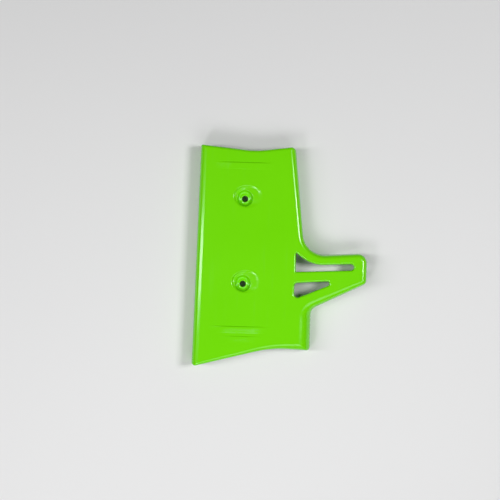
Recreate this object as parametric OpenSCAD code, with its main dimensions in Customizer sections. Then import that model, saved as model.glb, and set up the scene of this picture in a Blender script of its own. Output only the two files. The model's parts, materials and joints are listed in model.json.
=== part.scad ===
// Moulded guard panel: a shallow channel with turned-down sides, two bolt wells
// and a slotted side arm. The origin is the middle of the bolt line, on the face
// that the two steel collars rest on. +Y runs along the bolt line to the upper
// end, +X points to the arm, and +Z out of the painted side.

/* [Panel] */
// Height of the panel's face above the collar feet
face_z = 14; // [12:0.5:20]
// Height of the panel's face above the side rims
panel_h = 26; // [22:0.5:34]
// Wall thickness of the moulding
wall = 2.5; // [1.8:0.1:3.2]
// Reach of the upper left tip above the bolt centre
tip_up = 101; // [90:1:120]
// Reach of the lower left tip below the bolt centre
tip_down = 133.6; // [122:1:160]
// Distance from the bolt line to the left edge at the upper tip
left_up = 47.6; // [40:0.2:54]
// Distance from the bolt line to the left edge at the lower tip
left_down = 51.6; // [42:0.2:58]
// Distance from the bolt line to the right edge at the upper corner
right_up = 52; // [44:0.5:60]
// Distance from the bolt line to the right edge where the arm starts
right_mid = 64.5; // [56:0.5:68]
// Distance from the bolt line to the right edge below the arm
right_low = 72; // [70:0.5:84]
// Depth of the bow in the upper end
bow_up = 5.6; // [3:0.2:8]
// Rise of the lower right corner above the lower left tip
low_rise = 20.8; // [12:0.2:26]
// Rise of the lower end's bend above the lower right corner
bow_down = 1; // [0:0.2:3]
// Distance of the lower end's bend from the bolt line
bow_down_x = 31; // [24:0.5:36]
// Radius of the bow in the upper end
bow_up_r = 90; // [60:5:120]
// Radius of the bend in the lower end
bow_down_r = 130; // [80:5:140]
// Depth of the lip on the upper end
lip_up = 5; // [4:0.5:8]
// Depth of the lip on the lower end
lip_down = 10; // [9:0.5:14]

/* [Arm] */
// Reach of the arm's end from the bolt line
arm_reach = 129.6; // [118:0.2:154]
// Distance of the arm's upper edge below the bolt centre, at its end
arm_top = 9.9; // [6:0.5:16]
// Fall of the arm's upper edge from its end to its root
arm_fall = 4.6; // [0:0.5:8]
// Width of the arm at its end
arm_end_w = 30.6; // [25:0.2:40]
// Width of the arm at its root, below the panel's right edge
arm_root_w = 54.6; // [48:0.5:60]
// Depth of the arm's sides at its end
arm_side = 14; // [8:0.5:20]
// Depth of the lips round the two openings
opening_lip = 5; // [3:0.5:7]

/* [Folds] */
// Fold radius along the left edge
fold_left = 7; // [4:0.1:9]
// Fold radius along the right edge, above the arm
fold_right = 6.4; // [4:0.1:8]
// Fold radius along the right edge, below the arm
fold_low = 13; // [6:0.5:14]
// Fold radius along the ends
fold_end = 3; // [2.6:0.1:4]
// Fold radius at the lower right corner, along the lower end
fold_corner = 7.5; // [4:0.5:9]
// Fold radius along the arm's upper edge and end
fold_arm = 4.4; // [2.6:0.1:5]
// Fold radius of the arm's lower edge, at its root
fold_gusset = 8; // [4:0.5:9]

/* [Slot] */
// Start of the slot, from the bolt line
slot_start = 55.3; // [53:0.1:58]
// End of the slot, from the bolt line
slot_end = 116.4; // [95:0.1:117.5]
// Width of the slot's straight part
slot_w = 6.6; // [5:0.1:7]
// Distance of the slot's lower edge below the bolt centre, at its round end
slot_low = 27.5; // [26.5:0.1:28.5]
// Fall of the slot from its round end to the panel
slot_fall = 3.1; // [1:0.1:3.4]
// Width of the slot at the panel
slot_mouth = 20.4; // [12:0.1:21]
// Length of the slot's flared part
slot_flare = 22; // [16:0.5:30]

/* [Lower opening] */
// Start of the lower opening, from the bolt line
window_start = 54.4; // [53:0.1:57]
// Tip of the lower opening, from the bolt line
window_end = 91; // [75:0.5:94]
// Distance of the lower opening's upper edge below the bolt centre, at the panel
window_top = 42.4; // [40:0.2:44]
// Rise of the upper edge from the panel to the tip
window_rise = 2.7; // [0:0.1:3.5]
// Height of the lower opening at the panel
window_h = 16.8; // [10:0.2:17]
// Height of the lower opening at its tip
window_tip = 4.2; // [4.1:0.1:5]
// Corner radius of the lower opening
window_r = 2; // [1:0.1:2]

/* [Bolt wells] */
// Distance between the two bolt holes
bolt_gap = 89.6; // [70:0.2:110]
// Half length of a well's mouth, across the panel
mouth_x = 14.6; // [12:0.1:17]
// Half length of a well's mouth, along the panel
mouth_y = 11.3; // [10.5:0.1:13]
// Shift of the mouth from the bolt hole, towards the arm
mouth_dx = 3.1; // [0:0.1:4]
// Shift of the mouth from the bolt hole, towards the upper end
mouth_dy = 2.9; // [0:0.1:3]
// Depth of the bolt seat below the panel's face
seat_depth = 5.5; // [4:0.1:7]
// Radius of the flat bolt seat
seat_r = 7.6; // [6.5:0.1:8]
// Radius of the raised ring round a bolt hole
ring_r = 5.3; // [4.6:0.1:6.4]
// Height of the raised ring above its seat
ring_h = 1; // [0.4:0.1:1.5]
// Thickness of plastic between a seat and the collar behind it
seat_skin = 2; // [1.5:0.1:3]
// Radius of a bolt hole, in the moulding and in its collar
hole_r = 3.25; // [3.1:0.05:3.5]
// Radius of the boss behind a seat
boss_r = 7.8; // [6.6:0.1:9]

/* [Collars] */
// Radius of the collar's tube
tube_r = 4.5; // [4:0.05:5]
// Width of the collar's flange round its tube
flange_lip = 2.8; // [1.5:0.1:3.2]
// Thickness of the collar's flange
flange_t = 1; // [0.6:0.1:1.5]
// Clearance between a collar and its boss, on the radius
collar_gap = 0.05; // [0.02:0.01:0.1]

/* [Grip bands] */
// Length of a raised band
band_len = 56; // [40:1:64]
// Width of a raised band
band_w = 8; // [5:0.5:11]
// Height of a raised band above the face
band_h = 0.8; // [0.4:0.1:1.2]
// Distance of the upper band above the bolt centre
band_up = 80; // [74:1:86]
// Distance of the lower band below the bolt centre
band_down = 93; // [80:1:98]

/* [Hidden] */
$fn = 64;
eps = 0.01;
reach = 400;
rim_z = face_z - panel_h;
seat_z = face_z - seat_depth;
pocket_z = seat_z - seat_skin;
gusset_y = arm_top + arm_fall + arm_root_w;
arm_low = arm_top + arm_end_w;
low_y = tip_down - low_rise;
band_x = -2;
// Inner corner that a side wall keeps where an end is open
post = 1.5;
// A point inside the outline that sees every edge of it
hub = [right_mid - 24, -arm_top - arm_end_w * 0.65];

// Corners of the outline in the face's plane, anticlockwise: x, y, corner radius,
// arc steps, and +1 for an outside corner or -1 for an inside one.
corners = [
    [-left_down, -tip_down, 3, 3, 1],
    [bow_down_x, -low_y + bow_down, bow_down_r, 12, -1],
    [right_low, -low_y, 2.5, 3, 1],
    [right_low, -gusset_y, 11, 6, -1],
    [arm_reach, -arm_low, 4, 4, 1],
    [arm_reach, -arm_top, 9, 6, 1],
    [right_mid, -arm_top - arm_fall, 24, 8, -1],
    [right_up, tip_up, 4.5, 4, 1],
    [(right_up - left_up) / 2 + 8, tip_up - bow_up, bow_up_r, 8, -1],
    [-left_up, tip_up, 1.2, 2, 1]
];
// Sides, each from its corner to the next one: fold radius at its start and end,
// then how far it leans out per millimetre of depth at its start and end.
sides = [
    [fold_end, fold_end * 1.5, 0, 0],
    [fold_end * 1.5 + 0.5, fold_corner, 0, 0.1],
    [fold_low, fold_low, 0.06, 0.06],
    [fold_gusset, fold_arm, 0.08, 0.12],
    [fold_arm, fold_arm, 0.12, 0.12],
    [fold_arm, fold_arm, 0.05, 0.05],
    [fold_arm + 0.6, fold_right, 0.04, 0.02],
    [fold_end, fold_end, 0, 0],
    [fold_end, fold_end, 0, 0],
    [fold_left - 0.4, fold_left + 0.4, 0.02, 0.04]
];
count = len(corners);
// Depths of the rings below the face, as shares of the tallest fold, and the rim
ring_shares = [1, 0.78, 0.58, 0.41, 0.27, 0.16, 0.08, 0.025, 0];

function tall_fold() = max([for (s = sides) max(s[0], s[1])]);
function fold_in(f, d) = d >= f ? 0 : f - sqrt(2 * f * d - d * d);
function unit(v) = v / norm(v);
function out_of(a, b) = unit([b[1] - a[1], a[0] - b[0]]);
function place(i) = [corners[i % count][0], corners[i % count][1]];

// Inward shift of side i at its end e (0 start, 1 end), at depth d, for a skin
// that lies t inside the outer one
function shift(i, e, d, t) =
    let (s = sides[i], f = max(s[e] - t, 0.6))
    t + fold_in(f, d) - s[2 + e] * (d + t);
function side_line(i, d, t) =
    let (a = place(i), b = place(i + 1), n = out_of(a, b))
    [a - n * shift(i, 0, d, t), b - n * shift(i, 1, d, t)];
function meet(p, q) =
    let (u = p[1] - p[0], v = q[1] - q[0], w = q[0] - p[0])
    p[0] + u * (w[0] * v[1] - w[1] * v[0]) / (u[0] * v[1] - u[1] * v[0]);
// One corner of a ring, rounded between the two lines that meet there
function round_corner(i, d, t) =
    let (
        before = (i + count - 1) % count,
        p = side_line(before, d, t),
        q = side_line(i, d, t),
        m = meet(p, q),
        u = unit(p[0] - p[1]),
        v = unit(q[1] - q[0]),
        inward = (shift(before, 1, d, t) + shift(i, 0, d, t)) / 2,
        side = corners[i][4],
        r = max(corners[i][2] - side * inward, 0.08),
        half = acos(max(-1, min(1, u * v))) / 2,
        centre = m + unit(u + v) * r / sin(half),
        sweep = 180 - 2 * half,
        a0 = atan2((m + u * r / tan(half) - centre)[1], (m + u * r / tan(half) - centre)[0])
    )
    [for (k = [0 : corners[i][3]])
        let (a = a0 + side * sweep * k / corners[i][3])
        centre + r * [cos(a), sin(a)]];
function ring(d, t) = [for (i = [0 : count - 1]) each round_corner(i, d, t)];

// A closed solid inside the outline, t inside the outer skin and open to depth h
module skin(t, h) {
    top = face_z - t;
    tall = tall_fold() - t;
    depths = concat([h], [for (s = ring_shares) s * tall]);
    rings = [for (d = depths) [for (p = ring(d, t)) [p[0], p[1], top - d]]];
    n = len(rings[0]);
    last = len(rings) - 1;
    walls = [for (k = [0 : last - 1], j = [0 : n - 1])
        let (a = k * n + j, b = k * n + (j + 1) % n)
        each [[a, a + n, b], [b, a + n, b + n]]];
    hub_low = len(rings) * n;
    base = [for (j = [0 : n - 1]) [hub_low, j, (j + 1) % n]];
    cap = [for (j = [0 : n - 1]) [hub_low + 1, last * n + (j + 1) % n, last * n + j]];
    hubs = [[hub[0], hub[1], top - h], [hub[0], hub[1], top]];
    polyhedron(points = concat([for (r = rings) each r], hubs), faces = concat(base, walls, cap));
}

module at_wells() {
    for (side = [-1, 1])
        translate([0, side * bolt_gap / 2, 0])
            children();
}

// The dished well, grown by g on every side
module well(g) {
    hull() {
        translate([mouth_dx, mouth_dy, face_z - g])
            linear_extrude(g + eps)
                scale([mouth_x + g, mouth_y + g])
                    circle(1, $fn = 40);
        translate([0, 0, seat_z - g])
            cylinder(r = seat_r + g, h = eps, $fn = 40);
    }
}

// The slot: a straight stretch with a round end, whose upper edge bends up in a
// curve to the mouth at the panel
module slot_shape() {
    end_x = slot_end - slot_w / 2;
    bend_x = slot_start + slot_flare + 6;
    low_at_start = -slot_low - slot_fall;
    low_at_bend = -slot_low - slot_fall * (end_x - bend_x) / (end_x - slot_start);
    rise = low_at_start + slot_mouth - low_at_bend - slot_w;
    steps = 10;
    curve = [for (k = [0 : steps])
        let (t = k / steps)
        [bend_x - (bend_x - slot_start) * t, low_at_bend + slot_w + rise * pow(t, 2.1)]];
    polygon(concat(
        [[slot_start, low_at_start], [end_x, -slot_low], [end_x, -slot_low + slot_w]],
        curve
    ));
    translate([end_x, -slot_low + slot_w / 2])
        circle(slot_w / 2);
}

module window_shape() {
    tip_top = -window_top + window_rise;
    offset(window_r) offset(-window_r)
        polygon([
            [window_start, -window_top - window_h],
            [window_end, tip_top - window_tip],
            [window_end, tip_top],
            [window_start, -window_top]
        ]);
}

// A lip round an opening: a wall that hangs from the face's underside
module lip(depth) {
    translate([0, 0, face_z - depth])
        linear_extrude(depth - wall / 2)
            offset(wall)
                children();
}

module band() {
    half = (band_len - band_w) / 2;
    translate([band_x, 0, face_z - wall / 2])
        linear_extrude(wall / 2 + band_h) {
            square([2 * half, band_w], center = true);
            for (side = [-1, 1])
                translate([side * half, 0])
                    circle(band_w / 2);
        }
}

module cover_moulding() {
    color("limegreen")
    difference() {
        union() {
            difference() {
                skin(0, panel_h);
                skin(wall, panel_h);
            }
            at_wells() {
                well(wall);
                translate([0, 0, flange_t])
                    cylinder(r = boss_r, h = seat_z - flange_t);
            }
            lip(opening_lip) slot_shape();
            lip(opening_lip) window_shape();
            translate([0, band_up, 0]) band();
            translate([0, -band_down, 0]) band();
        }
        at_wells() {
            difference() {
                well(0);
                translate([0, 0, pocket_z])
                    cylinder(r = ring_r, h = seat_skin + ring_h);
            }
            cylinder(r = hole_r, h = panel_h);
            cylinder(r = tube_r + collar_gap, h = pocket_z);
        }
        translate([0, 0, rim_z - 1])
            linear_extrude(panel_h + 2) {
                slot_shape();
                window_shape();
            }
        upper_end_gap();
        lower_end_gap();
        arm_underside_gap();
    }
}

// Open space below an end's lip, between the side walls: x at the left and the
// right in the face's plane, how far the walls lean out per millimetre, the lip's
// depth and the range of y
module end_gap(left, right, lean_left, lean_right, lip, y0, y1) {
    deep = panel_h + 1;
    keep = wall + post;
    translate([0, y1, face_z])
        rotate([90, 0, 0])
            linear_extrude(y1 - y0)
                polygon([
                    [-left - lean_left * lip + keep, -lip],
                    [-left - lean_left * deep + keep, -deep],
                    [right + lean_right * deep - keep, -deep],
                    [right + lean_right * lip - keep, -lip]
                ]);
}

module upper_end_gap() {
    end_gap(left_up, right_up, sides[9][2], sides[6][3], lip_up, tip_up - 2 * bow_up, reach);
}

module lower_end_gap() {
    end_gap(left_down, right_low, sides[9][3], sides[2][2], lip_down, -reach, -low_y + 2 * bow_down + fold_corner);
}

// Open space under the arm, below its sides
module arm_underside_gap() {
    root_x = right_low + 3;
    rotate([90, 0, 0])
        linear_extrude(2 * reach, center = true)
            polygon([
                [root_x, rim_z - 1],
                [root_x, rim_z],
                [arm_reach, face_z - arm_side],
                [reach, face_z - arm_side],
                [reach, rim_z - 1]
            ]);
}

module collar() {
    color("silver")
    difference() {
        union() {
            cylinder(r = tube_r + flange_lip, h = flange_t);
            cylinder(r = tube_r, h = pocket_z - collar_gap);
        }
        translate([0, 0, -1])
            cylinder(r = hole_r, h = pocket_z + 2);
    }
}

module upper_collar() {
    translate([0, bolt_gap / 2, 0]) collar();
}

module lower_collar() {
    translate([0, -bolt_gap / 2, 0]) collar();
}

cover_moulding();
upper_collar();
lower_collar();
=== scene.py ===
import json
import math

import bmesh
import bpy
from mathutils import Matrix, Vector


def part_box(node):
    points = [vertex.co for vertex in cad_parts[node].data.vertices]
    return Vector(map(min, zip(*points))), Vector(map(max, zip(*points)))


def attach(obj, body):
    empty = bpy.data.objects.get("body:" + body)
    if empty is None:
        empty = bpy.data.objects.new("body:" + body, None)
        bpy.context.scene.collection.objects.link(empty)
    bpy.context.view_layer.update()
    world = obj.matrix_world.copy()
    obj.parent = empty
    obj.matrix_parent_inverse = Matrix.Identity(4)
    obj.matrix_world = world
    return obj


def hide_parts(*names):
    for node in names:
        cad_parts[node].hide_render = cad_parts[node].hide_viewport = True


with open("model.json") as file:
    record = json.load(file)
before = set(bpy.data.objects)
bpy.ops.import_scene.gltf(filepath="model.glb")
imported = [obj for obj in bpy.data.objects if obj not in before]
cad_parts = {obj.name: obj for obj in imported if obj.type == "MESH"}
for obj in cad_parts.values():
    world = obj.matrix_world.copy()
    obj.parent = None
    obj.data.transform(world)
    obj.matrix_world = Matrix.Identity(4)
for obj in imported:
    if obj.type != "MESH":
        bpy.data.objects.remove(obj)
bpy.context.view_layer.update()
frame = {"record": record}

# ---------------------------------------------------------------- sizes
# Everything in this section is in millimetres; MM turns it into metres.
MM = 0.001
cover_low, cover_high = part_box("cover_moulding")
mounts = {m["name"]: m for m in frame["record"]["mounts"]}
BOLT_GAP = mounts["bolt_holes"]["dims"]["spacing_y_mm"]
HOLE_R = mounts["bolt_holes"]["dims"]["hole_r_mm"]
BAND_H = 0.8
FACE = cover_high.z / MM - BAND_H
RIM = cover_low.z / MM
DEEP = FACE - RIM
WALL = 2.5
TIP_UP = 101.0
TIP_DOWN = 133.2
LEFT_UP = 47.6
LEFT_DOWN = 51.6
RIGHT_UP = 52.0
RIGHT_MID = 64.5
RIGHT_LOW = 72.0
LOW_Y = 112.8
ARM_REACH = 129.6
ARM_TOP = 9.9
ARM_FALL = 4.6
ARM_LOW = 40.5
ARM_SIDE = 14.0
GUSSET_Y = 69.1
LOW_BEND_X = 31.0
LOW_BEND_RISE = 1.0
TOP_DIP = 5.6
LIP_UP = 5.0
LIP_DOWN = 10.0
OPENING_LIP = 5.0
SEAT_DEPTH = 5.5
RING_R = 5.3
RING_H = 1.0
POCKET = SEAT_DEPTH + 2.0
BOSS_R = 7.8
TUBE_R = 4.5
FLANGE_R = 7.3
FLANGE_T = 1.0
# Play between a collar's tube and its pocket
PLAY = 0.05
# Width over which the rim falls from an open end's lip to the side walls
RIM_RUN = 8.0
# Smallest radius that a corner keeps however far it is set in
CORNER_R_MIN = 1.3

# Corners of the panel, anticlockwise: x, y, radius, steps of the arc, and 1 for an
# outside corner or -1 for an inside one.
CORNERS = [
    (-LEFT_DOWN, -TIP_DOWN, 3.0, 8, 1),
    (LOW_BEND_X, -LOW_Y + LOW_BEND_RISE, 130.0, 20, -1),
    (RIGHT_LOW, -LOW_Y, 2.5, 8, 1),
    (RIGHT_LOW, -GUSSET_Y, 11.0, 12, -1),
    (ARM_REACH, -ARM_LOW, 4.0, 10, 1),
    (ARM_REACH, -ARM_TOP, 9.0, 14, 1),
    (RIGHT_MID, -ARM_TOP - ARM_FALL, 24.0, 20, -1),
    (RIGHT_UP, TIP_UP, 4.5, 10, 1),
    ((RIGHT_UP - LEFT_UP) / 2 + 8, TIP_UP - TOP_DIP, 90.0, 18, -1),
    (-LEFT_UP, TIP_UP, 1.2, 6, 1),
]
# Sides, each from its corner to the next: the fold's radius at its start and end, and
# how far the side leans out for each millimetre down, at its start and end.
SIDES = [
    (3.0, 4.5, 0.0, 0.0),
    (5.0, 7.5, 0.0, 0.1),
    (13.0, 13.0, 0.06, 0.06),
    (8.0, 4.4, 0.08, 0.12),
    (4.4, 4.4, 0.12, 0.12),
    (4.4, 4.4, 0.05, 0.05),
    (5.0, 6.4, 0.04, 0.02),
    (3.0, 3.0, 0.0, 0.0),
    (3.0, 3.0, 0.0, 0.0),
    (6.6, 7.4, 0.02, 0.04),
]


# ---------------------------------------------------------------- outlines
def ease(t):
    """A smooth step from 0 to 1."""
    t = max(0.0, min(1.0, t))
    return t * t * (3 - 2 * t)


def fold_in(radius, down):
    """How far a fold still stands in from its side, some way down from the face."""
    if down >= radius:
        return 0.0
    return radius - math.sqrt(max(2 * radius * down - down * down, 0.0))


def side_shift(side, end, depth, inset):
    """How far one end of a side stands in from its line at a depth."""
    fold = max(SIDES[side][end] - inset, 0.6)
    return inset + fold_in(fold, depth - inset) - SIDES[side][2 + end] * depth


def side_line(side, depth, inset):
    """Both ends of a side at a depth, before its corners are rounded."""
    ax, ay = CORNERS[side][:2]
    bx, by = CORNERS[(side + 1) % len(CORNERS)][:2]
    length = math.hypot(bx - ax, by - ay)
    out = Vector(((by - ay) / length, (ax - bx) / length))
    start = Vector((ax, ay)) - out * side_shift(side, 0, depth, inset)
    end = Vector((bx, by)) - out * side_shift(side, 1, depth, inset)
    return start, end


def meeting(p, q):
    """The point where two lines cross."""
    u = p[1] - p[0]
    v = q[1] - q[0]
    w = q[0] - p[0]
    return p[0] + u * (w.x * v.y - w.y * v.x) / (u.x * v.y - u.y * v.x)


def corner_arc(i, depth, inset):
    """The arc of one corner, rounded between the two sides that meet there."""
    before = (i - 1) % len(CORNERS)
    p = side_line(before, depth, inset)
    q = side_line(i, depth, inset)
    radius, steps, turn = CORNERS[i][2:]
    at = meeting(p, q)
    u = (p[0] - p[1]).normalized()
    v = (q[1] - q[0]).normalized()
    inward = (side_shift(before, 1, depth, inset) + side_shift(i, 0, depth, inset)) / 2
    r = max(radius - turn * inward, CORNER_R_MIN)
    half = math.acos(max(-1.0, min(1.0, u.dot(v)))) / 2
    centre = at + (u + v).normalized() * (r / math.sin(half))
    first = at + u * (r / math.tan(half)) - centre
    start = math.atan2(first.y, first.x)
    sweep = turn * (math.pi - 2 * half)
    angles = [start + sweep * k / steps for k in range(steps + 1)]
    return [centre + Vector((math.cos(a), math.sin(a))) * r for a in angles]


def spread(count):
    """Shares of a side's length, closer together near its two ends."""
    return [(1 - math.cos(math.pi * k / (count + 1))) / 2 for k in range(1, count + 1)]


SIDE_SHARES = [
    spread(max(4, int(math.dist(CORNERS[i][:2], CORNERS[(i + 1) % len(CORNERS)][:2]) / 5)))
    for i in range(len(CORNERS))
]


def panel_ring(depth, inset):
    """The panel's outline at a depth below the face, set in by a wall's thickness."""
    arcs = [corner_arc(i, depth, inset) for i in range(len(CORNERS))]
    ring = []
    for i, arc in enumerate(arcs):
        ring += arc
        end = arcs[(i + 1) % len(arcs)][0]
        ring += [arc[-1].lerp(end, s) for s in SIDE_SHARES[i]]
    return ring


def rim_depth(p):
    """Depth of the panel's rim under a point of its outline."""
    if p.y > TIP_UP - 12 and p.x < RIGHT_UP:
        s = min(p.x + LEFT_UP, RIGHT_UP - p.x) - 7.5
        return DEEP - (DEEP - LIP_UP) * ease(s / RIM_RUN)
    if p.y < -LOW_Y + 9.5:
        s = min(p.x + LEFT_DOWN - 8, RIGHT_LOW - p.x - 13.5)
        return DEEP - (DEEP - LIP_DOWN) * ease(s / RIM_RUN)
    if p.x > RIGHT_LOW + 3:
        along = (p.x - RIGHT_LOW - 3) / (ARM_REACH - RIGHT_LOW - 7.5)
        return DEEP - (DEEP - ARM_SIDE) * min(1.0, along)
    return DEEP


FLAT_RING = panel_ring(0.0, 0.0)
RIM_DEPTHS = [rim_depth(p) for p in FLAT_RING]


def level(depths, inset):
    """A ring whose points lie each at its own depth."""
    known = {}
    ring = []
    for i, depth in enumerate(depths):
        key = round(depth, 4)
        if key not in known:
            known[key] = panel_ring(key, inset)
        p = known[key][i]
        ring.append((p.x, p.y, FACE - key))
    return ring


# ---------------------------------------------------------------- modelling helpers
def deselect():
    """Lets go of everything that is selected."""
    for o in bpy.context.selected_objects:
        o.select_set(False)


def loft(name, rings):
    """A skin through rings of equal length: a circle put on the first ring, and its
    edge drawn out to each of the others."""
    deselect()
    bpy.ops.mesh.primitive_circle_add(vertices=len(rings[0]), radius=0.01)
    skin = bpy.context.object
    skin.name = name
    bpy.ops.object.mode_set(mode="EDIT")
    bpy.ops.mesh.select_all(action="SELECT")
    mesh = bmesh.from_edit_mesh(skin.data)
    mesh.verts.ensure_lookup_table()
    post = mesh.verts.layers.int.new("post")
    start = mesh.verts[0]
    here, last = start, None
    for k in range(len(rings[0])):
        here[post] = k
        near = [e.other_vert(here) for e in here.link_edges]
        ahead = next((v for v in near if v is not last and (v is not start or k > 1)), None)
        here, last = ahead, here
        if here is start or here is None:
            break
    for k, ring in enumerate(rings):
        if k:
            bpy.ops.mesh.extrude_region_move()
        mesh = bmesh.from_edit_mesh(skin.data)
        post = mesh.verts.layers.int["post"]
        for v in mesh.verts:
            if v.select:
                v.co = Vector(ring[v[post]]) * MM
    bmesh.update_edit_mesh(skin.data)
    bpy.ops.object.mode_set(mode="OBJECT")
    return skin


def join(pieces, name):
    """Joins pieces into the first of them and names the result."""
    deselect()
    for o in pieces:
        o.select_set(True)
    bpy.context.view_layer.objects.active = pieces[0]
    bpy.ops.object.join()
    whole = bpy.context.object
    whole.name = name
    whole.data.name = name
    return whole


def fill_between(height):
    """Fills the flat part between all open loops at one height, in edit mode."""
    bpy.ops.mesh.select_all(action="DESELECT")
    mesh = bmesh.from_edit_mesh(bpy.context.object.data)
    for e in mesh.edges:
        flat = all(abs(v.co.z - height * MM) < 1e-6 for v in e.verts)
        if flat and len(e.link_faces) == 1:
            e.select_set(True)
    bmesh.update_edit_mesh(bpy.context.object.data)
    bpy.ops.mesh.fill(use_beauty=True)


def close_up():
    """Merges the seams, in edit mode."""
    bpy.ops.mesh.select_all(action="SELECT")
    bpy.ops.mesh.remove_doubles(threshold=2e-6)


def face_out():
    """Turns every face outwards, in edit mode."""
    bpy.ops.mesh.select_all(action="SELECT")
    bpy.ops.mesh.normals_make_consistent(inside=False)


def rounded_path(points, cuts, steps=6):
    """Points of a broken line with each inner corner rounded by a cut length."""
    path = [points[0]]
    for k in range(1, len(points) - 1):
        a, b, c = (Vector(points[j]) for j in (k - 1, k, k + 1))
        cut_in = min(cuts[k - 1], 0.48 * (a - b).length)
        cut_out = min(cuts[k - 1], 0.48 * (c - b).length)
        p = b + (a - b).normalized() * cut_in
        q = b + (c - b).normalized() * cut_out
        for j in range(steps + 1):
            t = j / steps
            path.append(tuple(p * (1 - t) ** 2 + b * (2 * t * (1 - t)) + q * t * t))
    path.append(points[-1])
    return path


# ---------------------------------------------------------------- the cover's skin
FOLD_DEPTHS = [0, 0.01, 0.04, 0.09, 0.16, 0.25, 0.37, 0.52, 0.7]
FOLD_DEPTHS += [0.92, 1.18, 1.5, 1.85, 2.25, 2.7, 3.2, 3.7]
DOWN_SHARES = [0.025, 0.06, 0.11, 0.17, 0.24, 0.32, 0.41, 0.52, 0.66, 0.8, 0.92, 1]
UP_SHARES = [0.8, 0.6, 0.44, 0.33, 0.24, 0.16, 0.1, 0.05, 0.02, 0]
RIM_R = 0.9
RIM_STEPS = 6


def skin_rings():
    """Rings of the panel from the face over the fold, down to the rim, round it and up
    the inside to the underside of the face."""
    count = len(FLAT_RING)
    rings = [[(*(p + inward(FLAT_RING, i) * 0.5), FACE) for i, p in enumerate(FLAT_RING)]]
    for depth in FOLD_DEPTHS:
        rings.append(level([depth] * count, 0.0))
    top = FOLD_DEPTHS[-1]
    for share in DOWN_SHARES:
        rings.append(level([top + (d - RIM_R - top) * share for d in RIM_DEPTHS], 0.0))
    for step in range(1, RIM_STEPS + 1):
        a = math.pi / 2 * step / RIM_STEPS
        inset = RIM_R * (1 - math.cos(a))
        rings.append(level([d - RIM_R + RIM_R * math.sin(a) for d in RIM_DEPTHS], inset))
    for step in range(RIM_STEPS, -1, -1):
        a = math.pi / 2 * step / RIM_STEPS
        inset = WALL - RIM_R * (1 - math.cos(a))
        rings.append(level([d - RIM_R + RIM_R * math.sin(a) for d in RIM_DEPTHS], inset))
    inner_top = WALL + 0.6
    for share in UP_SHARES:
        depths = [inner_top + (d - RIM_R - inner_top) * share for d in RIM_DEPTHS]
        rings.append(level(depths, WALL))
    for up in [0.4, 0.22, 0.1, 0.03, 0]:
        rings.append(level([WALL + up] * count, WALL))
    last = [Vector(p[:2]) for p in rings[-1]]
    rings.append([(*(p + inward(last, i) * 0.4), FACE - WALL) for i, p in enumerate(last)])
    return rings


def inward(ring, i):
    """Direction into an anticlockwise ring, square to it at one of its points."""
    along = (ring[(i + 1) % len(ring)] - ring[i - 1]).normalized()
    return Vector((-along.y, along.x))


# ---------------------------------------------------------------- the bolt wells
WELL_STEPS = 96
MOUTH_X = 14.6
MOUTH_Y = 11.5
MOUTH_DX = 3.1
MOUTH_DY = 2.4
STEP_W = 1.3
STEP_SPREAD = 2.1
BOWL_R = 8.2
BOWL_FOOT = 5.55
BOWL_STEPS = 9
DISH_DEPTH = 0.9
DISH_RISE_X = 0.049
DISH_FALL_Y = 0.03
RING_FOOT = 5.6
RING_TOP = 3.7
WELL_BACK_R = 10.1


def mouth_reach(a):
    """Distance from the bolt's centre to the edge of the well's mouth."""
    c, s = math.cos(a), math.sin(a)
    k = (c / MOUTH_X) ** 2 + (s / MOUTH_Y) ** 2
    m = c * MOUTH_DX / MOUTH_X**2 + s * MOUTH_DY / MOUTH_Y**2
    n = (MOUTH_DX / MOUTH_X) ** 2 + (MOUTH_DY / MOUTH_Y) ** 2 - 1
    return (m + math.sqrt(m * m - k * n)) / k


def well_section(a):
    """Section of the well, from the face to the face's underside, as distance from the
    bolt's centre and depth: a step at the mouth, a nearly flat dish, a bowl and the
    raised ring round the hole."""
    mouth = mouth_reach(a)
    c, s = math.cos(a), math.sin(a)
    edge = min(BOWL_R + 0.8 * max(s, 0.0), mouth - 0.8)
    far = ease((c - 0.84) / 0.12) if s > 0 else ease((c + 0.1) / 0.9)
    step = STEP_W + STEP_SPREAD * far
    foot = max(mouth - step, edge + 0.1)
    dish = DISH_DEPTH + 0.6 * max(0.0, -s * c)
    fall = DISH_FALL_Y * s - DISH_RISE_X * c
    at_foot = max(dish + fall * foot, 0.04)
    at_edge = max(dish + fall * edge, at_foot)
    points = [(mouth + 2.2, 0.0), (mouth + 1.6, 0.0), (mouth + 0.3, 0.0), (foot, at_foot)]
    points.append((edge, at_edge))
    for k in range(1, BOWL_STEPS):
        t = math.pi / 2 * k / BOWL_STEPS
        reach = BOWL_FOOT + (edge - 0.15 - BOWL_FOOT) * math.cos(t)
        points.append((reach, at_edge + (SEAT_DEPTH - at_edge) * math.sin(t)))
    points += [
        (RING_FOOT, SEAT_DEPTH),
        (RING_R, SEAT_DEPTH - 0.4),
        (RING_TOP, SEAT_DEPTH - RING_H),
        (HOLE_R, SEAT_DEPTH - RING_H + 0.25),
        (HOLE_R, POCKET),
        (TUBE_R + PLAY, POCKET),
        (TUBE_R + PLAY, FACE - FLANGE_T),
        (BOSS_R, FACE - FLANGE_T),
        (BOSS_R, SEAT_DEPTH + WALL),
        (WELL_BACK_R, SEAT_DEPTH + WALL),
        (mouth + 2.4, WALL + 0.2),
        (mouth + 3.4, WALL),
        (mouth + 4.0, WALL),
    ]
    cuts = [0.1, 0.9, 0.7, 0.5] + [0.3] * (BOWL_STEPS - 1) + [0.3, 0.3, 0.3, 0.2]
    cuts += [0.1, 0.1, 0.2, 0.4, 0.8, 1.0, 0.6, 0.6]
    return rounded_path(points, cuts, 4)


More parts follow.
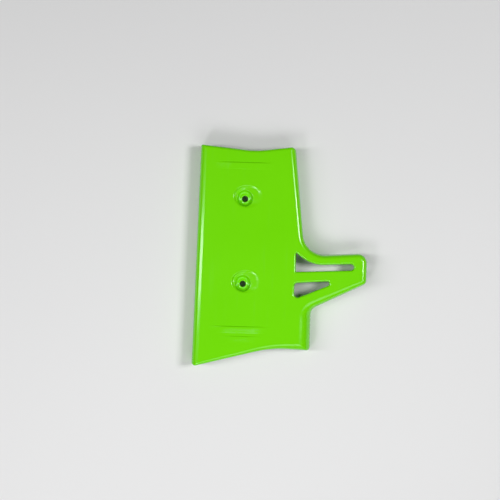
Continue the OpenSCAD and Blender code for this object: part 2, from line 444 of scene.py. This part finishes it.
def well_rings(y):
    """Rings of one well, its section swept round the bolt's centre."""
    angles = [2 * math.pi * k / WELL_STEPS for k in range(WELL_STEPS)]
    sections = [well_section(a) for a in angles]
    rings = []
    for k in range(len(sections[0])):
        ring = []
        for a, section in zip(angles, sections):
            reach, depth = section[k]
            ring.append((reach * math.cos(a), y + reach * math.sin(a), FACE - depth))
        rings.append(ring)
    return rings


# ---------------------------------------------------------------- the arm's openings
SLOT_START = 55.3
SLOT_END = 116.4
SLOT_W = 6.6
SLOT_LOW = -27.5
SLOT_FALL = 3.1
SLOT_MOUTH = 20.4
SLOT_FLARE = 28.0
FLARE_STEPS = 14
WINDOW_START = 54.4
WINDOW_END = 91.0
WINDOW_TOP = -42.4
WINDOW_RISE = 2.7
WINDOW_H = 16.8
WINDOW_TIP = 4.2


def round_outline(points, radii, step=1.2):
    """A closed outline with its corners rounded and its sides divided evenly."""
    outline = []
    n = len(points)
    for k in range(n):
        a, b, c = (Vector(points[j % n]) for j in (k - 1, k, k + 1))
        u = (a - b).normalized()
        v = (c - b).normalized()
        half = math.acos(max(-1.0, min(1.0, u.dot(v)))) / 2
        if radii[k] == 0:
            outline.append(b)
            continue
        r = radii[k]
        cut = min(r / math.tan(half), 0.48 * (a - b).length, 0.48 * (c - b).length)
        r = cut * math.tan(half)
        centre = b + (u + v).normalized() * (r / math.sin(half))
        p = b + u * cut - centre
        q = b + v * cut - centre
        start = math.atan2(p.y, p.x)
        sweep = math.atan2(p.x * q.y - p.y * q.x, p.dot(q))
        for j in range(9):
            t = start + sweep * j / 8
            outline.append(centre + Vector((math.cos(t), math.sin(t))) * r)
    full = []
    for k, p in enumerate(outline):
        q = outline[(k + 1) % len(outline)]
        parts = max(1, int((q - p).length / step))
        full += [p.lerp(q, j / parts) for j in range(parts)]
    return full


def slot_outline():
    """The slot, which flares upwards at the arm's root."""
    end_x = SLOT_END - SLOT_W / 2
    bend = SLOT_START + SLOT_FLARE
    low_start = SLOT_LOW - SLOT_FALL
    low_bend = SLOT_LOW - SLOT_FALL * (end_x - bend) / (end_x - SLOT_START)
    rise = low_start + SLOT_MOUTH - low_bend - SLOT_W
    curve = []
    for k in range(1, FLARE_STEPS + 1):
        t = k / FLARE_STEPS
        curve.append((bend - (bend - SLOT_START) * t, low_bend + SLOT_W + rise * t**2.1))
    points = [
        (SLOT_START, low_start),
        (SLOT_END, SLOT_LOW),
        (SLOT_END, SLOT_LOW + SLOT_W),
        (bend, low_bend + SLOT_W),
    ]
    end_r = SLOT_W / 2 - 0.02
    radii = [0.9, end_r, end_r, 0] + [0] * (FLARE_STEPS - 1) + [0.8]
    return round_outline(points + curve, radii)


def window_outline():
    """The three-cornered window, blunt at its outer tip."""
    tip = WINDOW_TOP + WINDOW_RISE
    points = [
        (WINDOW_START, WINDOW_TOP - WINDOW_H),
        (WINDOW_END, tip - WINDOW_TIP),
        (WINDOW_END, tip),
        (WINDOW_START, WINDOW_TOP),
    ]
    return round_outline(points, [3.6, 2.0, 2.0, 3.2])


def opening_rings(outline, edge=1.9, thick=2.0, lip_r=0.7, back_r=0.7):
    """Rings of an opening: over its rounded edge, down the lip, round the lip's end and
    up behind it to the underside of the face."""
    section = [(edge + 0.4, 0.0), (edge, 0.0)]
    for k in range(1, 9):
        a = math.pi / 2 * k / 8
        section.append((edge * (1 - math.sin(a)), edge * (1 - math.cos(a))))
    straight = OPENING_LIP - lip_r
    section.append((0, (edge + OPENING_LIP - lip_r) / 2))
    quarter = [math.pi / 2 * k / 4 for k in range(5)]
    for a in quarter:
        section.append((lip_r * (1 - math.cos(a)), straight + lip_r * math.sin(a)))
    for a in reversed(quarter):
        section.append((thick - lip_r * (1 - math.cos(a)), straight + lip_r * math.sin(a)))
    for a in quarter:
        out = thick + back_r * (1 - math.cos(a))
        section.append((out, WALL + back_r * (1 - math.sin(a))))
    section.append((thick + 1.0, WALL))
    n = len(outline)
    outs = [-inward(outline, i) for i in range(n)]
    rings = []
    for out, depth in section:
        rings.append([(*(p + square * out), FACE - depth) for p, square in zip(outline, outs)])
    return rings


# ---------------------------------------------------------------- the raised bands
# Each band: the middle's x and y, half its straight length, its height and the share of
# that height at its lower edge.
BANDS = [
    (-1.0, 79.5, 29.0, BAND_H, 0.27),
    (-2.0, -93.0, 29.0, BAND_H, 0.15),
    (-1.0, -103.3, 19.0, BAND_H * 0.7, 0.05),
]
BAND_R = 4.0
BAND_FADE = 20.0
BAND_OUTS = [4.6, 4.0, 3.9, 3.8, 3.7, 3.6, 3.5, 3.4, 3.25]
BAND_OUTS += [3.1, 2.95, 2.7, 2.3, 1.8, 1.2, 0.6, 0.0]


def band_rings(x, y, half, height, lip):
    """Rings of a raised band: crisp along its upper edge, easing down to the lower one,
    and fading out at both ends. The lip is the share of its height at the lower edge."""
    r = BAND_R
    spine = []
    for k in range(31):
        spine.append((x - half + 2 * half * k / 30, y - 1e-9, -math.pi / 2))
    for k in range(1, 16):
        spine.append((x + half, y, -math.pi / 2 + math.pi * k / 16))
    for k in range(31):
        spine.append((x + half - 2 * half * k / 30, y, math.pi / 2))
    for k in range(1, 16):
        spine.append((x - half, y, math.pi / 2 + math.pi * k / 16))
    rings = []
    for out in BAND_OUTS:
        ring = []
        for px, py, a in spine:
            qx = px + out * math.cos(a)
            qy = py + out * math.sin(a)
            fade = ease((half + r - abs(qx - x)) / BAND_FADE) * max(0.0, min(1.0, (r - out) / 0.3))
            low_edge = lip * ease((qy - y + r) / 1.5) + (1 - lip) * ease((qy - y + r) / 7)
            across = ease((r - (qy - y)) / 1.1) * low_edge
            ring.append((qx, qy, FACE + height * fade * across))
        rings.append(ring)
    return rings


# ---------------------------------------------------------------- the two kinds of piece
def make_cover():
    """The green moulding: all its skins joined, and the flats between them filled."""
    parts = [loft("skin", skin_rings())]
    for side in (-1, 1):
        parts.append(loft("well", well_rings(side * BOLT_GAP / 2)))
    parts.append(loft("slot", opening_rings(slot_outline())))
    parts.append(loft("window", opening_rings(window_outline())))
    for band in BANDS:
        parts.append(loft("band", band_rings(*band)))
    cover = join(parts, "cover_shell")
    bpy.ops.object.mode_set(mode="EDIT")
    close_up()
    fill_between(FACE)
    fill_between(FACE - WALL)
    face_out()
    bpy.ops.object.mode_set(mode="OBJECT")
    bpy.ops.object.shade_smooth()
    weigh = cover.modifiers.new("weigh", "WEIGHTED_NORMAL")
    weigh.weight = 60
    bpy.ops.object.modifier_apply(modifier=weigh.name)
    return cover


COLLAR_STEPS = 64


def make_collar(name, y):
    """A steel collar with softened edges: foot flange, tube and bolt hole."""
    points = [
        (HOLE_R, 0.6),
        (HOLE_R, 0.0),
        (FLANGE_R, 0.0),
        (FLANGE_R, FLANGE_T),
        (TUBE_R, FLANGE_T),
        (TUBE_R, FACE - POCKET - PLAY),
        (HOLE_R, FACE - POCKET - PLAY),
        (HOLE_R, 0.6),
    ]
    section = rounded_path(points, [0.3, 0.25, 0.25, 0.15, 0.25, 0.3], 4)
    angles = [2 * math.pi * k / COLLAR_STEPS for k in range(COLLAR_STEPS)]
    rings = []
    for reach, z in section:
        rings.append([(reach * math.cos(a), y + reach * math.sin(a), z) for a in angles])
    collar = loft(name, rings)
    bpy.ops.object.mode_set(mode="EDIT")
    close_up()
    face_out()
    bpy.ops.object.mode_set(mode="OBJECT")
    bpy.ops.object.shade_smooth_by_angle(angle=math.radians(40))
    return collar


# ---------------------------------------------------------------- materials
class Maths:
    """A value inside a material. Python's operators on it add Math nodes."""

    def __init__(self, tree, socket):
        self.tree = tree
        self.socket = socket

    def math(self, operation, *others):
        node = self.tree.nodes.new("ShaderNodeMath")
        node.operation = operation
        for k, value in enumerate((self, *others)):
            put(self.tree, node.inputs[k], value)
        return Maths(self.tree, node.outputs[0])

    def __add__(self, other):
        return self.math("ADD", other)

    def __radd__(self, other):
        return self.math("ADD", other)

    def __sub__(self, other):
        return self.math("SUBTRACT", other)

    def __mul__(self, other):
        return self.math("MULTIPLY", other)


def put(tree, socket, value):
    """Links a node's value to a socket, or sets a plain one."""
    if isinstance(value, Maths):
        tree.links.new(value.socket, socket)
    else:
        socket.default_value = value


class Finish:
    """A material under construction."""

    def __init__(self, name, **fixed):
        self.material = bpy.data.materials.new(name)
        self.material.use_nodes = True
        self.tree = self.material.node_tree
        self.shader = self.tree.nodes["Principled BSDF"]
        for socket, value in fixed.items():
            self.shader.inputs[socket.replace("_", " ")].default_value = value

    def add(self, kind, settings=None, out=0, **sockets):
        """Any node: its type, its settings and its sockets' values or links."""
        node = self.tree.nodes.new(kind)
        for key, value in (settings or {}).items():
            if key == "stops":
                ramp = node.color_ramp
                while len(ramp.elements) < len(value):
                    ramp.elements.new(0.5)
                for element, (place, shade) in zip(ramp.elements, value):
                    element.position = place
                    element.color = (shade, shade, shade, 1)
            else:
                setattr(node, key, value)
        for key, value in sockets.items():
            numbered = key[0] == "n" and key[1:].isdigit()
            socket = int(key[1:]) if numbered else key.replace("_", " ")
            put(self.tree, node.inputs[socket], value)
        return Maths(self.tree, node.outputs[out])

    def link(self, socket, value):
        """Links a value to one of the shader's sockets."""
        self.tree.links.new(value.socket, self.shader.inputs[socket])

    def place(self, scale=(1, 1, 1)):
        """The piece's own coordinates, in metres, stretched by a scale."""
        own = self.add("ShaderNodeTexCoord", out=3)
        return self.add("ShaderNodeMapping", Vector=own, Scale=scale)

    def noise(self, scale, detail=2.0, stretch=(1, 1, 1)):
        """Noise in the piece's own coordinates."""
        return self.add(
            "ShaderNodeTexNoise",
            Vector=self.place(stretch),
            Scale=scale,
            Detail=detail,
        )

    def ramp(self, value, stops):
        """A grey ramp over a value."""
        return self.add("ShaderNodeValToRGB", {"stops": stops}, Fac=value)

    def tint(self, mask, a, b):
        """A blend of two colours by a mask."""
        return self.add(
            "ShaderNodeMix",
            {"data_type": "RGBA"},
            out=2,
            n0=mask,
            n6=(*a, 1),
            n7=(*b, 1),
        )


def gloss_green():
    """High gloss polypropylene, coloured through: a faint orange peel, cloudy colour,
    hairline scuffs that only show in the gloss."""
    f = Finish("gloss_green", IOR=1.5)
    cloud = f.noise(14.0, 3.0)
    f.link("Base Color", f.tint(cloud, (0.152, 0.662, 0.0012), (0.17, 0.70, 0.002)))
    scuff = f.ramp(f.noise(260.0, 4.0, (1, 0.06, 1)), [(0.60, 0), (0.72, 1)])
    wear = f.noise(40.0, 3.0)
    f.link("Roughness", 0.13 + cloud * 0.04 + scuff * wear * 0.10)
    peel = f.noise(420.0, 1.0)
    wave = f.noise(32.0, 1.0)
    bump = f.add(
        "ShaderNodeBump",
        Strength=0.22,
        Distance=0.0004,
        Height=peel * 0.25 + wave * 2.0 - scuff * wear * 0.3,
    )
    f.link("Normal", bump)
    return f.material


def zinc_steel():
    """Zinc plate on turned steel: fine rings, dull patches."""
    f = Finish("zinc_steel", Metallic=1.0)
    patch = f.noise(300.0, 4.0)
    f.link("Base Color", f.tint(patch, (0.50, 0.51, 0.52), (0.68, 0.69, 0.68)))
    f.link("Roughness", 0.28 + patch * 0.22)
    grain = f.noise(1500.0, 2.0, (1, 1, 6))
    f.link("Normal", f.add("ShaderNodeBump", Strength=0.2, Distance=0.0001, Height=grain))
    return f.material


def studio_floor():
    """Matt pale grey, very slightly cloudy."""
    f = Finish("studio_floor", Roughness=0.9)
    tone = f.noise(3.0, 2.0)
    f.link("Base Color", f.tint(tone, (0.71, 0.71, 0.715), (0.73, 0.73, 0.73)))
    return f.material


def dress(piece, material):
    """Gives a piece its one material."""
    piece.data.materials.clear()
    piece.data.materials.append(material)


# ---------------------------------------------------------------- the pieces
green = gloss_green()
steel = zinc_steel()

cover = make_cover()
dress(cover, green)
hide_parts("cover_moulding")
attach(cover, "root")

for node, y in (("upper_collar", BOLT_GAP / 2), ("lower_collar", -BOLT_GAP / 2)):
    collar = make_collar(node + "_turned", y)
    dress(collar, steel)
    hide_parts(node)
    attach(collar, "root")

deselect()
bpy.ops.mesh.primitive_plane_add(size=8, location=(0, 0, RIM * MM))
floor = bpy.context.object
floor.name = "studio_floor"
dress(floor, studio_floor())


# ---------------------------------------------------------------- light and camera
LIT_POINT = Vector((0.02, -0.015, 0))


def softbox(name, azimuth, elevation, distance, width, height, power):
    """A soft lamp that looks at the panel's middle."""
    a, e = math.radians(azimuth), math.radians(elevation)
    flat = math.cos(e)
    direction = Vector((math.cos(a) * flat, math.sin(a) * flat, math.sin(e)))
    lamp = bpy.data.lights.new(name, "AREA")
    lamp.shape = "RECTANGLE"
    lamp.size = width
    lamp.size_y = height
    lamp.energy = power
    o = bpy.data.objects.new(name, lamp)
    o.location = LIT_POINT + direction * distance
    o.rotation_euler = direction.to_track_quat("Z", "Y").to_euler()
    bpy.context.scene.collection.objects.link(o)


softbox("left_box", 181, 55, 1.5, 0.2, 1.2, 9.2)
softbox("right_box", 7, 58, 1.5, 0.32, 0.4, 10.8)
softbox("front_left_box", 236, 49, 1.1, 0.26, 0.3, 2.6)
softbox("front_right_box", 290, 52, 1.1, 0.7, 0.6, 2.9)

world = bpy.data.worlds.new("studio")
world.use_nodes = True
world.node_tree.nodes["Background"].inputs["Color"].default_value = (1, 1, 1, 1)
world.node_tree.nodes["Background"].inputs["Strength"].default_value = 0.015
bpy.context.scene.world = world
bpy.context.scene.view_settings.view_transform = "Standard"

CAMERA_X = 0.0067
CAMERA_Y = -0.0089
CAMERA_RISE = 1.1
CAMERA_TURN = math.radians(1.552)
lens = bpy.data.cameras.new("camera")
lens.lens = 75.4
lens.sensor_width = 36
lens.clip_start = 0.01
lens.clip_end = 20
camera = bpy.data.objects.new("camera", lens)
camera.location = (CAMERA_X, CAMERA_Y, FACE * MM + CAMERA_RISE)
camera.rotation_euler = (0, 0, CAMERA_TURN)
bpy.context.scene.collection.objects.link(camera)
bpy.context.scene.camera = camera
